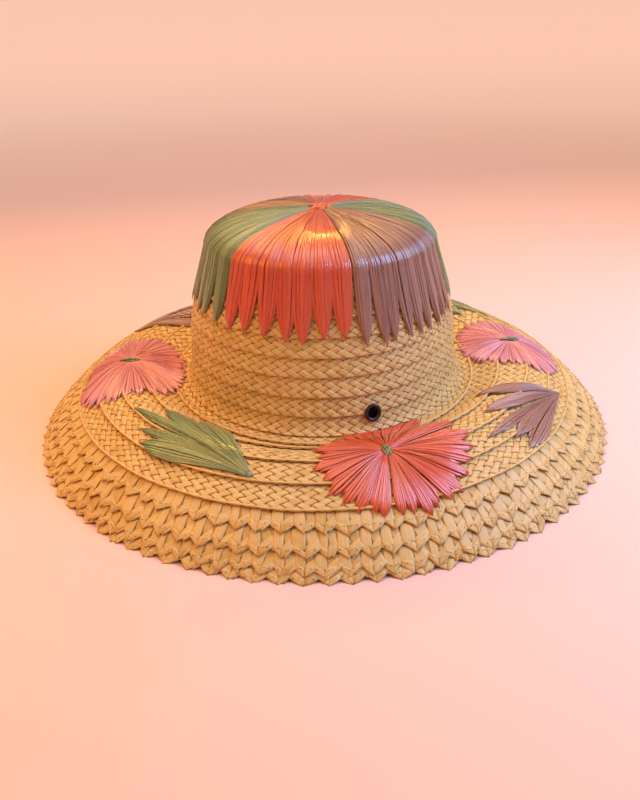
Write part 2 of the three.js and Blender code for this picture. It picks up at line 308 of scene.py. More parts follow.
STRAW_THICKNESS = 0.36
WEAVE_HEIGHT = 0.28  # how far a splint rises and dips as it goes over and under
WEAVE_SQUARENESS = 1.7  # how long it stays up or down between crossings
FOLD_REACH = 0.55  # how far a splint bulges past the edge where it folds
SAMPLES = 3  # rings of points for each splint that is crossed
SPLINT = 3.84  # half the distance between crossings along a row, in millimetres
SPLINT_FILL = (0.86, 0.965)  # the least and the most of its own lane that a splint fills
SPLINT_STRAY = 0.045  # how far a splint lies off its lane's middle, in lanes
SECTION = [(-1, 0), (-0.55, 1), (0.55, 1), (1, 0), (0.55, -1), (-0.55, -1)]
CORD_SECTION = [(-1, 0), (-0.7, 0.75), (0, 1), (0.7, 0.75), (1, 0), (0, -0.8)]
CORD_INSET = 0.35  # from a row's open edge to the cord's outer side
CORD_SWELL = 0.16  # how much wider the cord is between folds, as a share
WANDER_WAVES = (3, 7, 13, 23, 37)
RIPPLE_WAVES = (2, 5, 9, 17, 29)
WANDER = 0.13  # millimetres that a turn strays sideways, and below it in height
RIPPLE = 0.08
TONE_SHIFT = (97, 31)  # millimetres by which a tone moves the grain, so that no two are alike
FIBRE_STEP = 4.5  # millimetres along the fibres from one crossing to the next
FIBRE_HALF = 2.1  # half a splint's width in the same measure


def plait(inner, outer, crossings, lift_in, lift_out, seed, cord=0.14):
    """One turn of flat plait between two distances down the outline.

    Each splint climbs from the outer edge to the inner one and back as a zigzag. Its height is a
    flattened cosine of how far along it has crossed the others, opposite on the two slants, and it
    turns round a half circle at each edge. A cord of this half width runs along the outer edge, where
    the folds are drawn tight. Returns points, faces and the fibre attribute."""
    rng = np.random.default_rng(seed)
    units = max(5, round(2 * math.pi * radius_at((inner + 2 * outer) / 3) / (2 * SPLINT)))
    climb = np.arange(crossings * SAMPLES + 1) / SAMPLES
    bend = np.array([0.25, 0.5, 0.75]) * math.pi
    none = np.zeros(len(bend))
    up, down = climb, climb[::-1]
    over = 1 if crossings % 2 == 0 else -1
    # along the zigzag: across the row, the slant, how far round a fold, and along the row
    y = np.r_[up, none + crossings, down, none]
    slant = np.r_[up * 0 + 1, none, down * 0 - 1, none]
    turn = np.r_[up * 0, bend, down * 0 + math.pi, math.pi - bend]
    x = np.r_[up, none + crossings, 2 * crossings - down, none + 2 * crossings]
    k = np.arange(units)[:, None, None]
    side, depth = np.array(SECTION).T[:, None, None]
    wide = rng.uniform(*SPLINT_FILL, (units, 1, 1))
    shift = rng.normal(0, SPLINT_STRAY, (units, 1, 1))
    x_, y_, turn_, slant_ = (v[None, :, None] for v in (x, y, turn, slant))
    px = x_ + 2 * k + side * wide + shift

    def wave(phase):
        return (WEAVE_HEIGHT * np.tanh(WEAVE_SQUARENESS * np.cos(math.pi * phase))
                / math.tanh(WEAVE_SQUARENESS))

    rising = wave((px + y_ - 2 * k - shift) / 2)
    falling = -wave((2 * k + shift + 2 * crossings - px + y_) / 2)
    mix = np.cos(turn_)
    height = (rising + falling) / 2 + (rising - falling) / 2 * mix
    bulge = np.where(slant_ != 0, 0, np.sin(turn_)) * np.where(y_ > 0, 1, -1)
    skin = depth * STRAW_THICKNESS / 2
    facing = np.where(y_ > 0, over, 1)
    height = height + skin * mix
    spread = bulge * (FOLD_REACH + facing * skin)
    band = (outer - inner - 2 * FOLD_REACH) / crossings
    run = outer - FOLD_REACH - y_ * band - spread
    bearing = px * math.pi / units
    sizes, phases = rng.uniform(-1, 1, (2, 5)), rng.uniform(0, 6.28, (2, 5))

    def laid(run, bearing, lift):
        """Points of the turn, which wanders a little sideways and in height as sewn work does."""
        wander, ripple = (sum(a * np.sin(n * bearing + p) for a, p, n in zip(sizes[w], phases[w], waves))
                          for w, waves in enumerate((WANDER_WAVES, RIPPLE_WAVES)))
        share = np.clip((run - inner) / (outer - inner), 0, 1)
        slope = lift_in + (lift_out - lift_in) * share
        return on_hat(run + WANDER * wander, bearing, slope + lift + RIPPLE * ripple * share)

    points = laid(run, bearing, height)
    far = np.r_[up, up[-1] + bend / 3, 2 * crossings + 1 - down, 2 * crossings + 1 + bend / 3]
    tone = np.where(slant_ < 0, rng.random((units, 1, 1)), rng.random((units, 1, 1)))
    faces = tube_faces(units, len(y), len(SECTION), (np.arange(units) + crossings) % units)
    splints = solid(points, faces, far[None, :, None] * FIBRE_STEP + TONE_SHIFT[0] * tone,
                    side * FIBRE_HALF + TONE_SHIFT[1] * tone, tone)

    count = 4 * units
    around = (np.arange(count) * 2 * math.pi / count)[:, None]
    pull = 1 + CORD_SWELL * np.cos(units * around) + rng.normal(0, 0.05, (count, 1))
    corners = np.array(CORD_SECTION) * cord * np.array([1, 0.8])
    points = laid(outer - CORD_INSET - cord * 0.5 + corners[:, 0] * pull, around,
                  0.62 * cord + corners[:, 1] * pull + rng.normal(0, 0.03, (count, 1)))
    tone = np.repeat(rng.random((count // 4 + 1, 1)), 4, 0)[:count]
    faces = tube_faces(1, count, len(CORD_SECTION), np.array([0]))
    edging = solid(points, faces, around * 100 + TONE_SHIFT[0] * tone, corners[:, 0] * 1.2,
                   0.35 + 0.5 * tone)
    return gather([splints, edging])


def make_fibre_grain():
    """A node group: a piece's tone, and a noise drawn out along its fibres, from the fibre attribute."""
    group = bpy.data.node_groups.new("fibre_grain", "ShaderNodeTree")
    for socket, way, kind in (("Stretch", "INPUT", "Vector"), ("Detail", "INPUT", "Float"),
                              ("Tone", "OUTPUT", "Float"), ("Grain", "OUTPUT", "Float")):
        group.interface.new_socket(socket, in_out=way, socket_type="NodeSocket" + kind)
    given = group.nodes.new("NodeGroupInput")
    fibre = add_node(group, "Attribute", attribute_name="fibre")
    split = add_node(group, "SeparateXYZ", {"Vector": fibre.outputs["Vector"]})
    drawn_out = add_node(group, "Mapping",
                         {"Vector": fibre.outputs["Vector"], "Scale": given.outputs["Stretch"]})
    noise = add_node(group, "TexNoise", {"Vector": drawn_out.outputs["Vector"], "Scale": 1.0,
                                         "Detail": given.outputs["Detail"]})
    set_inputs(group, group.nodes.new("NodeGroupOutput"),
               {"Tone": split.outputs["Z"], "Grain": noise.outputs["Fac"]})
    return group


FIBRE_GRAIN = make_fibre_grain()
STRAW_TONES = [(0.0, (0.38, 0.170, 0.036, 1)), (0.35, (0.56, 0.28, 0.054, 1)),
               (0.7, (0.72, 0.39, 0.086, 1)), (1.0, (0.86, 0.53, 0.19, 1))]


def straw_material():
    """Dry straw: each splint its own tone, with fine fibres along it, darker streaks and a dull gloss."""
    material, tree, shader = new_material("natural_straw", Specular_IOR_Level=0.45)
    grain = add_node(tree, "Group", {"Stretch": (0.10, 3.4, 0), "Detail": 4}, node_tree=FIBRE_GRAIN)
    fibre = add_node(tree, "Attribute", attribute_name="fibre")
    patch = add_node(tree, "TexNoise", {"Vector": fibre.outputs["Vector"], "Scale": 0.22, "Detail": 2})
    own = add_node(tree, "Math", {0: grain.outputs["Tone"], 1: 0.55, 2: 0.5}, operation="MULTIPLY_ADD")
    shade = add_node(tree, "Math", {0: patch.outputs["Fac"], 1: 0.55, 2: own.outputs["Value"]},
                     operation="MULTIPLY_ADD")
    tones = add_node(tree, "ValToRGB", {"Fac": shade.outputs["Value"]})
    stops = tones.color_ramp.elements
    stops.new(STRAW_TONES[1][0])
    stops.new(STRAW_TONES[2][0])
    for stop, (at, colour) in zip(stops, STRAW_TONES):
        stop.position, stop.color = at, colour
    streak = add_node(tree, "MapRange", {"Value": grain.outputs["Grain"], "From Min": 0.3, "From Max": 0.72,
                                         "To Min": 0.72, "To Max": 1.12})
    tinted = add_node(tree, "Mix", {"Factor": 1, "A": tones.outputs["Color"], "B": streak.outputs["Result"]},
                      data_type="RGBA", blend_type="MULTIPLY")
    rough = add_node(tree, "MapRange", {"Value": grain.outputs["Grain"], "To Min": 0.32, "To Max": 0.56})
    bump = add_node(tree, "Bump", {"Height": grain.outputs["Grain"], "Strength": 0.35, "Distance": 0.0002})
    set_inputs(tree, shader, {"Base Color": tinted.outputs["Result"], "Roughness": rough.outputs["Result"],
                              "Normal": bump.outputs["Normal"]})
    return material


LOOKS = {"straw": straw_material()}  # the material of each slot


def make_piece(name, parts, slot, *nodes, material=None):
    """Build a piece, attach it to the root body, give it the material of its slot or the one given, and hide
    the nodes that it stands for.
    """
    thing = build_mesh(name, *parts)
    thing.data.materials.append(material or LOOKS[slot])
    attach(thing, "root")
    if nodes:
        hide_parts(*nodes)
    return thing


CROWN_ROWS = 14
CROWN_PITCH = CREASE_RUN / (CROWN_ROWS + 1)
PLAIT_LAP = 3.0
CROWN_CROSSINGS = 6
PLAIT_HALF = 0.6  # half the plait's own thickness
ROW_SINK = 1.6  # how far a row's hidden edge lies below its open one

button = plait(1.2, CROWN_PITCH, 4, -PLAIT_HALF, -PLAIT_HALF, seed=100)
make_piece("crown_button_plait", button, "straw", "crown_button")

EYELET_RUN = CREASE_RUN - 11.4
EYELET_BEARINGS = {"front": math.radians(18.6), "back": math.radians(198.6)}
EYELET_HOLE = 4.4
HOLE_DEPTH = 0.02  # metres; a hole goes through the near wall only


def punched(points, faces):
    """The faces that are left when the eyelets' holes are punched through a row."""
    middles = points[faces].mean(1)
    for bearing in EYELET_BEARINGS.values():
        centre = on_hat(EYELET_RUN, bearing, 0)
        out = on_hat(EYELET_RUN, bearing, 1) - centre
        out /= np.linalg.norm(out)
        from_centre = middles - centre
        deep = from_centre @ out
        wide = np.linalg.norm(from_centre - deep[:, None] * out, axis=1)
        away = (wide > EYELET_HOLE * MM) | (np.abs(deep) > HOLE_DEPTH)
        middles, faces = middles[away], faces[away]
    return faces


for turn in range(1, CROWN_ROWS + 1):
    edge = CROWN_PITCH * (turn + 1)
    points, faces, fibre = plait(edge - CROWN_PITCH - PLAIT_LAP, edge, CROWN_CROSSINGS,
                                 -PLAIT_HALF - ROW_SINK, -PLAIT_HALF, seed=100 + turn)
    make_piece(f"crown_row_{turn}_plait", (points, punched(points, faces), fibre), "straw",
               f"crown_row_{turn}")

# ------------------------------
# Brim rows. Five more turns of the same flat plait, each sewn down over the next one's inner edge. They
# lap less than the crown's, so that more of their width shows, and a thicker cord ends each one.

BRIM_EDGES = [9, 23.75, 38.5, 53.25, 68]
BRIM_CROSSINGS = 7
BRIM_CORD = 0.68

inner_edge = CREASE_RUN
for number, beyond in enumerate(BRIM_EDGES, 1):
    edge = CREASE_RUN + beyond
    crossings = CROWN_CROSSINGS - 1 if number == 1 else BRIM_CROSSINGS
    row = plait(inner_edge - PLAIT_LAP, edge, crossings, -PLAIT_HALF - ROW_SINK, -PLAIT_HALF,
                seed=200 + number, cord=BRIM_CORD)
    make_piece(f"brim_row_{number}_plait", row, "straw", f"brim_row_{number}")
    inner_edge = edge

# ------------------------------
# Scalloped rows. Three turns of wide pointed plait and the rim's own turn below them. Wide splints are
# folded over at the open edge into a run of points; a row of thread stitches holds each turn down.

# name, how far beyond the crease the open edge lies, number of points and how unruly they are
SCALLOP_EDGES = [("scalloped_row_1", 79.4, 92, 0.55), ("scalloped_row_2", 91.5, 99, 0.9),
                 ("scalloped_row_3", 101.0, 104, 1.15), ("rim_row", RIM_RUN - CREASE_RUN - 0.6, 96, 1.0)]
SCALLOP_LAP = 4.5
POINT_REACH = 1.3  # how far a point stands out past the row's mean edge
POINT_DEPTH = 4.7  # from the notch between two points to their tips
BACKING = 0.42  # thickness of the straw behind the points
SCALLOP_LIFT = -0.8  # where the open edge's middle lies against the outline


def slabs(corners, along_lift, across_lift, thickness, rng, units, place_on, tones=(0, 1)):
    """Flat splints, one for each unit, each a closed slab between four corners (x, y) in millimetres.

    The first two corners are one end and the last two the other, so the fibres run from the first to
    the third. Lift is the sum of a curve along the splint and a curve across it. Tones is the range
    from dark to light that the splints' tones are drawn from."""
    c = np.broadcast_to(np.asarray(corners, float), (units, 4, 2)) if np.ndim(corners) == 2 else corners
    rows, cols = len(along_lift), len(across_lift)
    t = np.linspace(0, 1, rows)[None, :, None, None]
    s = np.linspace(0, 1, cols)[None, None, :, None]
    flat = ((c[:, None, None, 0] * (1 - s) + c[:, None, None, 1] * s) * (1 - t)
            + (c[:, None, None, 2] * (1 - s) + c[:, None, None, 3] * s) * t)
    lift = (np.asarray(along_lift)[None, :, None] + np.asarray(across_lift)[None, None, :]
            + np.zeros((units, 1, 1)))
    low = lift - np.broadcast_to(thickness, lift.shape)
    both = np.concatenate([flat, flat[:, :, ::-1]], 2)
    lifts = np.concatenate([lift, low[:, :, ::-1]], 2)
    points = place_on(both, lifts)
    length = np.linalg.norm(c[:, 2] - c[:, 0], axis=1)[:, None, None]
    width = np.linalg.norm(c[:, 1] - c[:, 0], axis=1)[:, None, None]
    tone = tones[0] + (tones[1] - tones[0]) * rng.beta(0.8, 0.8, (units, 1, 1))
    across = np.concatenate([s[..., 0], s[:, :, ::-1, 0]], 2)
    loop = 2 * cols
    sides = tube_faces(units, rows, loop)
    unit, k = np.meshgrid(np.arange(units), np.arange(cols - 1), indexing="ij")
    ends = []
    for ring, flip in ((0, False), (rows - 1, True)):
        base = (unit * rows + ring) * loop
        cap = np.stack([base + k, base + loop - 1 - k, base + loop - 2 - k, base + k + 1], -1)
        ends.append((cap[..., ::-1] if flip else cap).reshape(-1, 4))
    return solid(points, np.vstack([sides, *ends]), t[..., 0] * length + TONE_SHIFT[0] * tone,
                 across * width + TONE_SHIFT[1] * tone, tone)


def scallops(edge, inner, units, unruly, lift_in, lift_out, seed):
    """One turn of pointed plait whose mean open edge is at a distance down the outline.

    Every unit is a strap that climbs from the left of its point, a slanting strap from the right of it
    and one behind them leaning the other way; two folded facets meet at the point's tip. Returns the
    row, the chart of a unit and half a unit's width."""
    rng = np.random.default_rng(seed)
    tip = edge + POINT_REACH
    pitch = 2 * math.pi * radius_at(tip) / units
    width = tip - inner
    sway = rng.normal(0, 0.35 * unruly, (units, 1, 1, 1))
    drop = rng.normal(0, 0.45 * unruly, (units, 1, 1, 1))
    swing = rng.normal(0, 0.055 * unruly, (units, 1, 1, 1))
    tilt = rng.normal(0, 0.045 * unruly, (units, 1, 1))
    rise = rng.normal(0, 0.18 * unruly, (units, 1, 1))
    notches = np.arange(units) - 0.5 + rng.normal(0, 0.03 + 0.06 * unruly, units)
    left = notches[:, None, None]
    broad = np.diff(np.r_[notches, notches[0] + units])[:, None, None]

    def place_on(flat, lift):
        x = flat[..., 0] * np.cos(swing[..., 0]) - flat[..., 1] * np.sin(swing[..., 0]) + sway[..., 0]
        y = flat[..., 1] + flat[..., 0] * np.sin(swing[..., 0])
        y = y - drop[..., 0] * np.clip(1 - y / width, 0, 1)
        run = tip - y
        share = np.clip((run - inner) / (edge - inner), 0, 1)
        slope = lift_in + (lift_out - lift_in) * share
        loose = rise * np.clip(1 - y / 9, 0, 1) + tilt * flat[..., 0] * np.clip(1.2 - y / 9, 0, 1)
        return on_hat(run, (left + (x / pitch + 0.5) * broad) * 2 * math.pi / units, slope + lift + loose)

    h, d, top = pitch / 2, POINT_DEPTH, width
    level = np.zeros(4)
    arch = 0.04 * np.array([-1.6, 0.1, 0.8, 1.0, 0.8, 0.1, -1.6])
    ramp = np.linspace(-1, 1, 7)
    fold = np.array([-0.16, 0.04, 0.13, 0.18, 0.20, 0.20])
    stagger = (np.arange(units) % 2)[:, None, None] * 0.07

    def strap(corners, along_lift, across_lift, thickness, tones):
        """One kind of strap, a slab in every unit with each of its corners a little out of its place."""
        moved = np.array(corners, float)[None] + rng.normal(0, 0.20 * (1 + unruly), (units, 4, 2))
        return slabs(moved, along_lift, across_lift, thickness, rng, units, place_on, tones)

    # The backing and the strap that leans the other way lie behind the rest, and their darker tone ranges
    # are painted shade in the gaps between the straps.
    parts = [
        # the backing, the strap that leans the other way, the slanting strap and the climbing one
        strap([(-h - 1, d + 0.6), (h + 1, d + 0.6), (-h - 1, top), (h + 1, top)],
              level - 0.3, level, BACKING + stagger, (0, 0.45)),
        strap([(3.0, 3.4), (h + 2.0, 6.6), (-2.2, top), (h - 1.6, top)],
              level - 0.12, 0.6 * arch - 0.10 * ramp, 0.2, (-0.15, 0.6)),
        strap([(-1.6, 5.0), (2.6, 1.4), (h + 0.2, 11.6), (h + 2.8, 7.0)],
              [0.05, 0.16, 0.20, 0.14, -0.05], arch + 0.09 * ramp, 0.25, (0.05, 1.05)),
        strap([(-h + 0.1, 4.6), (0.4, 3.2), (-h + 0.5, top - 1), (0.5, top - 1)],
              [0.15, 0.32, 0.38, 0.36, 0.2, -0.1], arch + 0.10 * ramp, 0.28, (0, 1.1)),
        # the left and the right facet of the point
        strap([(-h, d), (-h, d + 2.6), (0.3, -0.1), (0.3, 4.5)],
              [0.06, 0.22, 0.34, 0.36], fold, np.linspace(0.35, 0.7, 6)[None, None], (0.15, 1.1)),
        strap([(h, d + 0.1), (h, d + 2.6), (-0.3, 0.0), (-0.2, 4.7)],
              [0.06, 0.26, 0.40, 0.42], fold, np.linspace(0.4, 0.8, 6)[None, None], (0.0, 0.95)),
    ]
    return gather(parts), place_on, h


# The stitches' dark brown is painted shade of the needle holes they pass through; the thread itself is near
# the straw's own colour.
STITCH_THREAD_AND_HOLE_SHADE = new_material("thread_with_painted_hole_shade", Base_Color=(0.20, 0.085, 0.03, 1), Roughness=0.85)[0]
STITCHES = (-0.72, -0.38, -0.04, 0.32, 0.66)  # shares of half a unit's width from its middle
STITCH_ROW = 4.6  # millimetres in from the points' tips
STITCH_HALF = np.array([(-0.3, -0.2), (-0.3, 0.2), (0.3, -0.2), (0.3, 0.2)])

for number, (name, beyond, units, unruly) in enumerate(SCALLOP_EDGES, 1):
    edge = CREASE_RUN + beyond
    start = inner_edge - SCALLOP_LAP
    row, place_on, half = scallops(edge, start, units, unruly, SCALLOP_LIFT - ROW_SINK, SCALLOP_LIFT,
                                   seed=300 + number)
    make_piece(f"{name}_points", row, "straw", name)

    rng = np.random.default_rng(340 + number)
    dots = []
    for at in STITCHES:
        spot = np.array([at * half, STITCH_ROW]) + rng.normal(0, 0.34, (units, 1, 2))
        grown = rng.uniform(0.35, 1.0, (units, 1, 1))
        dots.append(slabs(STITCH_HALF[None] * grown + spot, [0.72, 0.78, 0.72], [0, 0.04, 0], 0.5,
                          rng, units, place_on))
    make_piece(f"{name}_stitches", gather(dots)[:2], "straw", material=STITCH_THREAD_AND_HOLE_SHADE)
    inner_edge = edge

# ------------------------------
# Raffia petals on the crown. Six sectors of long petals in three colours, each petal a bundle of
# glossy raffia strands laid from the knot at the top down to a point on the wall and sewn through.


def raffia(name, dark, light, shine):
    """Dyed raffia: satin strands whose tone changes from strand to strand and in streaks along them."""
    material, tree, shader = new_material(name, Roughness=0.32, Specular_IOR_Level=0.6, Anisotropic=0.4,
                                          Coat_Weight=shine, Coat_Roughness=0.075)
    grain = add_node(tree, "Group", {"Stretch": (0.07, 3.2, 0), "Detail": 3}, node_tree=FIBRE_GRAIN)
    streak = add_node(tree, "MapRange",
                      {"Value": grain.outputs["Grain"], "From Min": 0.3, "From Max": 0.7, "To Max": 0.55})
    mixed = add_node(tree, "Math", {0: grain.outputs["Tone"], 1: 0.45, 2: streak.outputs["Result"]},
                     operation="MULTIPLY_ADD")
    tint = add_node(tree, "Mix", {"Factor": mixed.outputs["Value"], "A": dark, "B": light},
                    data_type="RGBA")
    bump = add_node(tree, "Bump", {"Height": grain.outputs["Grain"], "Strength": 0.35, "Distance": 0.00025})
    set_inputs(tree, shader, {"Base Color": tint.outputs["Result"], "Normal": bump.outputs["Normal"]})
    return material


for slot, dark, light, shine in (
        ("coral_raffia", (0.58, 0.045, 0.013, 1), (0.93, 0.165, 0.064, 1), 0.9),
        ("brown_raffia", (0.175, 0.058, 0.036, 1), (0.61, 0.285, 0.195, 1), 0.9),
        ("green_raffia", (0.066, 0.108, 0.038, 1), (0.37, 0.42, 0.150, 1), 0.9),
        ("pink_raffia", (0.68, 0.10, 0.12, 1), (0.97, 0.46, 0.47, 1), 0.8)):
    LOOKS[slot] = raffia(slot, dark, light, shine)

RIBBON_ACROSS = np.array([-1, -0.45, 0.45, 1, 0.3, -0.3])
RIBBON_LIFT = np.array([-0.12, 0.14, 0.14, -0.12, -0.22, -0.22])
RIBBON_ENDS = ((0, 5, 4, 1), (1, 4, 3, 2))
STRAND_SHIFT = (83, 41)  # as TONE_SHIFT, for strands


def strands(across, down, width, lift, tone, place_on):
    """Raffia strands as thin closed ribbons with a rounded top.

    across, down and lift are arrays of strands by steps: the ribbon's middle line in millimetres and its
    height; width is its full width at every step. The ribbon's own sideways direction is its middle
    line's turned by a quarter turn."""
    dx, dy = np.gradient(across, axis=1), np.gradient(down, axis=1)
    size = np.maximum(np.hypot(dx, dy), 1e-6)
    side = RIBBON_ACROSS * width[..., None] / 2
    x = across[..., None] - dy[..., None] / size[..., None] * side
    y = down[..., None] + dx[..., None] / size[..., None] * side
    points = place_on(np.stack([x, y], -1), lift[..., None] + RIBBON_LIFT)
    count, rows = across.shape
    length = np.cumsum(size, axis=1)[..., None]
    tone = tone[:, None, None]
    loop = len(RIBBON_ACROSS)
    ends = []
    for ring, flip in ((0, False), (rows - 1, True)):
        base = (np.arange(count)[:, None] * rows + ring) * loop
        for quad in RIBBON_ENDS:
            end = base + np.array(quad)
            ends.append(end[:, ::-1] if flip else end)
    return solid(points, np.vstack([tube_faces(count, rows, loop), *ends]), length + STRAND_SHIFT[0] * tone,
                 side + STRAND_SHIFT[1] * tone, tone)


# name, slot, bearing of the first edge in degrees and how far above the crease the tips end
PETAL_SECTORS = [("coral_front", "coral_raffia", -45, 54.5), ("brown_front", "brown_raffia", 15, 49),
                 ("green_right", "green_raffia", 75, 55), ("coral_back", "coral_raffia", 135, 54.5),
                 ("brown_back", "brown_raffia", 195, 49), ("green_left", "green_raffia", 255, 55)]
SECTOR_WIDTH = 58
PETAL_STRANDS = 9
PETALS = {"coral_raffia": 7, "brown_raffia": 9, "green_raffia": 7}
PETAL_STEPS = 40
PETAL_TAPER = 36  # the length over which a petal narrows to its tip

for sector, (name, slot, first, above) in enumerate(PETAL_SECTORS):
    rng = np.random.default_rng(500 + sector)
    count = PETALS[slot]
    share = (np.arange(count) + 0.5) / count
    middle = np.radians(first + SECTOR_WIDTH * share)[:, None, None]
    half = math.radians(SECTOR_WIDTH / count / 2)
    tip = CREASE_RUN - above + rng.normal(0, 0.9, (count, 1, 1))
    u = np.linspace(-1, 1, PETAL_STRANDS)[None, :, None] + rng.normal(0, 0.07, (count, PETAL_STRANDS, 1))
    t = np.linspace(0, 1, PETAL_STEPS)[None, None, :]
    start = 5.5 + rng.uniform(0, 1.5, (count, PETAL_STRANDS, 1))
    end = tip - 4.0 * np.abs(u) ** 2 + rng.normal(0, 0.35, u.shape)
    run = start + (end - start) * t
    taper = np.clip((run - tip + PETAL_TAPER) / (PETAL_TAPER + 0.6), 0, 1)
    spread = (1 - taper ** 2.3) ** 0.8 * (1.03 - 0.06 * np.clip((run - 62) / 30, 0, 1))
    lean = rng.normal(0, 0.011, (count, 1, 1)) * np.clip((run - 50) / 60, 0, 1)
    bearing = middle + u * half * spread + lean
    lift = (0.45 + 0.75 * (1 - np.clip(np.abs(u), 0, 1) ** 2) + rng.normal(0, 0.06, u.shape)
            + 0.06 * np.sin(run / 9 + rng.uniform(0, 6.28, u.shape)))
    lift = lift * np.clip((1.02 - t) * 14, 0, 1) ** 0.5 + 0.9 * np.clip(1 - run / 12, 0, 1)
    gap = 2 * half * radius_at(run) / (PETAL_STRANDS - 1)
    width = np.clip(gap * (1.75 - 0.5 * taper), 0.6, 2.1) * np.clip((1.03 - t) * 10, 0.25, 1)
    tone = np.clip(rng.beta(2, 2, (count, PETAL_STRANDS)) * 0.8 + rng.uniform(0, 0.2, (count, 1)), 0, 1)
    flat_shape = (count * PETAL_STRANDS, PETAL_STEPS)
    run, bearing = run.reshape(flat_shape), bearing.reshape(flat_shape)
    radius = np.maximum(radius_at(run), 2.0)

    def sector_place(flat, height, bearing=bearing, radius=radius):
        """Millimetres to the side of each strand's own bearing, and the distance down the outline."""
        return on_hat(flat[..., 1], bearing[..., None] + flat[..., 0] / radius[..., None], height)

    petals = strands(np.zeros(flat_shape), run, width.reshape(flat_shape), lift.reshape(flat_shape),
                     tone.ravel(), sector_place)
    make_piece(f"petals_{name}_strands", petals, slot, f"petals_{name}")

# ------------------------------
# Raffia flowers on the brim. Straight stitches of raffia fan out from one hole, gathered into petals
# whose ends are sewn down in points; the ones towards the crown stop just past the crease.


def brim_place(beyond, bearing):
    """A chart on the brim, flat as seen from above: millimetres to the side and outward of a place this
    far beyond the crease and at this bearing in degrees."""
    brim_run = np.linspace(CREASE_RUN + 1, RIM_RUN, 90)
    brim_radius = radius_at(brim_run)
    centre = radius_at(CREASE_RUN + beyond)

    def place(flat, lift):
        out = centre + flat[..., 1]
        run = np.interp(np.hypot(flat[..., 0], out), brim_radius, brim_run)
        return on_hat(run, math.radians(bearing) + np.arctan2(flat[..., 0], out), lift)

    return place


FAN_STEPS = 18
FAN_START = 1.0  # millimetres from the hole to the strands' first ends


def fan(headings, lengths, half_angle, strand_count, rng, shoulder, rise, base, thick):
    """Raffia petals laid from one point at headings in radians (0 is outward, growing towards +X).

    A petal's half width grows in proportion to the distance from the point up to its shoulder, then
    closes in a rounded point. Returns the strands' middle lines, widths, lifts and tones."""
    petals = len(headings)
    t = np.linspace(0, 1, FAN_STEPS)[None, None, :]
    u = np.linspace(-1, 1, strand_count)[None, :, None] + rng.normal(0, 0.08, (petals, strand_count, 1))
    length = np.asarray(lengths)[:, None, None]
    reach = length * (1 - 0.14 * np.abs(u) ** 2) * (1 + rng.normal(0, 0.012, u.shape))
    far = FAN_START + (reach - FAN_START) * t
    part = far / length
    close = np.clip((part - shoulder) / (1.02 - shoulder), 0, 1)
    grown = np.minimum(part, shoulder) / shoulder
    half = np.asarray(half_angle)[:, None, None] * length * shoulder * grown * np.sqrt(1 - close ** 2)
    side = u * half
    aim = np.asarray(headings)[:, None, None]
    across = np.sin(aim) * far + np.cos(aim) * side
    down = np.cos(aim) * far - np.sin(aim) * side
    lift = base + rise * (1 - np.clip(np.abs(u), 0, 1) ** 2) * np.sin(math.pi * np.clip(part, 0, 1) ** 0.8)
    lift = lift + rng.normal(0, 0.09, u.shape) + rng.normal(0, 0.10, (petals, 1, 1))
    lift = lift - 1.0 * np.clip((t - 0.93) / 0.07, 0, 1) + 0.5 * np.clip(1 - far / 7, 0, 1)
    gap = 2 * half / (strand_count - 1)
    width = np.clip(gap * 1.5, 0.45, thick) * np.ones_like(t) * np.clip((1.04 - t) * 12, 0.3, 1)
    tone = np.clip(rng.beta(2, 2, (petals, strand_count)) * 0.75 + rng.uniform(0, 0.25, (petals, 1)), 0, 1)
    middle_lines = (v.reshape(petals * strand_count, FAN_STEPS) for v in (across, down, width, lift))
    return *middle_lines, tone.ravel()


# name, slot, how far beyond the crease and at what bearing, petals, strands in each, rise, and the reach
# in millimetres at headings in degrees
FLOWERS = [("front", "coral_raffia", 34.5, 14.6, 31, 8, 1.3,
            [(-150, 38), (-115, 40), (-80, 40), (-55, 40), (-20, 37), (5, 37), (30, 39), (50, 42), (75, 46),
             (90, 49), (115, 55), (130, 53)]),
           ("left", "pink_raffia", 33.5, -86.9, 52, 7, 0.9,
            [(-180, 31), (-135, 35), (-115, 40), (-70, 41), (-40, 29), (25, 28), (40, 38), (60, 49),
             (85, 53), (105, 50), (115, 53), (135, 43), (150, 36), (170, 31)]),
           ("right", "pink_raffia", 34, 95.7, 52, 7, 0.9,
            [(-150, 28), (-115, 34), (-100, 37), (-85, 45), (-60, 42), (-35, 31), (20, 25), (50, 25),
             (75, 29), (95, 39), (115, 44), (155, 29)]),
           ("back", "coral_raffia", 31, -170, 31, 8, 1.3,
            [(-180, 40), (-90, 45), (0, 43), (90, 45), (180, 40)])]
FLOWER_SHOULDER = 0.80  # where along a petal its closing point begins
PAST_CREASE = 6  # how far a petal may run past the crease up the crown

for seed, (name, slot, beyond, bearing, petals, strand_count, rise, outline) in enumerate(FLOWERS):
    rng = np.random.default_rng(600 + seed)
    headings = (np.arange(petals) + rng.normal(0, 0.12, petals)) * 2 * math.pi / petals - math.pi
    at, reach = np.array(outline, float).T
    lengths = np.interp(np.degrees(headings), at, reach) * (1 + rng.normal(0, 0.025, petals))
    up_hill = np.maximum(-np.cos(headings), 1e-3)
    lengths = np.minimum(lengths, (beyond + PAST_CREASE) / up_hill)
    half_angle = np.full(petals, math.pi / petals * 1.15)
    lines = fan(headings, lengths, half_angle, strand_count, rng, FLOWER_SHOULDER, rise, base=0.35,
                thick=1.7)
    make_piece(f"flower_{name}_strands", strands(*lines, brim_place(beyond, bearing)), slot,
               f"flower_{name}")

# ------------------------------
# Raffia leaf sprays on the brim. Between the flowers, five long leaflets of raffia strands spread from
# one hole, each leaflet sewn down at its tip.

